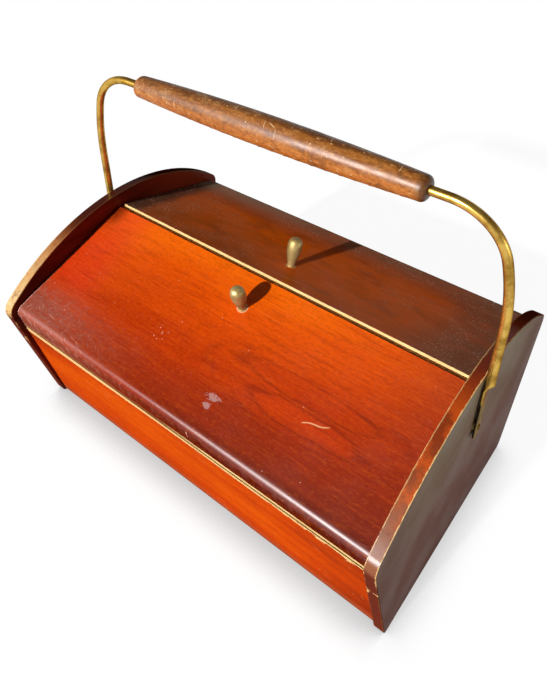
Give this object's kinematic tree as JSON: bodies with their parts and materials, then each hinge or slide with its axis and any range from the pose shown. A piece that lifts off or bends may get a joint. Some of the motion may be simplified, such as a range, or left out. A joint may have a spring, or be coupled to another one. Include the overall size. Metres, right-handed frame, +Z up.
{
  "type": "sewing carrier",
  "caption": "Plywood sewing carrier with arched ends, outward-opening lids that meet at a ridge, and a swinging brass bail with a turned grip",
  "frame": {"origin": "middle of the underside, on the floor that the end panels stand on", "axes": "+X along the case from the left end panel to the right, +Y from the front to the back, +Z up"},
  "size_m": [0.4154, 0.3022, 0.3525],
  "materials": {
    "mahogany": "glossy lacquered mahogany veneer, worn at the edges",
    "lid_mahogany": "glossy lacquered mahogany-stained plywood, pale at the cut edges",
    "dark_mahogany": "dark stained lacquered plywood",
    "edge_veneer": "glossy veneer strip, rubbed through at its corners",
    "grip_wood": "turned hardwood, medium brown, worn gloss",
    "plain_wood": "unfinished hardwood",
    "brass": "aged brass, dull gold",
    "steel": "plain steel"
  },
  "bodies": {
    "case": {"end_panel_left": "dark_mahogany", "end_panel_right": "dark_mahogany", "front_wall": "mahogany", "back_wall": "mahogany", "bottom_board": "plain_wood", "arched_edge_band_left": "edge_veneer", "front_edge_band_left": "edge_veneer", "back_edge_band_left": "edge_veneer", "arched_edge_band_right": "edge_veneer", "front_edge_band_right": "edge_veneer", "back_edge_band_right": "edge_veneer", "lid_rest_left": "plain_wood", "lid_rest_right": "plain_wood", "front_lid_pin_left": "steel", "back_lid_pin_left": "steel", "handle_screw_left": "brass", "handle_outer_washer_left": "brass", "handle_inner_washer_left": "steel", "handle_nut_left": "steel", "front_lid_pin_right": "steel", "back_lid_pin_right": "steel", "handle_screw_right": "brass", "handle_outer_washer_right": "brass", "handle_inner_washer_right": "steel", "handle_nut_right": "steel"},
    "front_lid_assembly": {"front_lid": "lid_mahogany", "front_knob": "brass", "front_knob_screw": "steel"},
    "back_lid_assembly": {"back_lid": "lid_mahogany", "back_knob": "brass", "back_knob_screw": "steel"},
    "handle": {"handle_grip": "grip_wood", "handle_arm_left": "brass", "handle_arm_right": "brass"}
  },
  "joints": [
    {"name": "front_lid_hinge", "type": "hinge", "parent": "case", "child": "front_lid_assembly", "pos_m": [0, -0.13843, 0.1262], "axis": [1, 0, 0], "range_deg": [0, 130]},
    {"name": "back_lid_hinge", "type": "hinge", "parent": "case", "child": "back_lid_assembly", "pos_m": [0, 0.13843, 0.1262], "axis": [-1, 0, 0], "range_deg": [0, 130]},
    {"name": "handle_swing", "type": "hinge", "parent": "case", "child": "handle", "pos_m": [0, 0, 0.1428], "axis": [1, 0, 0], "range_deg": [-77, 74]}
  ]
}
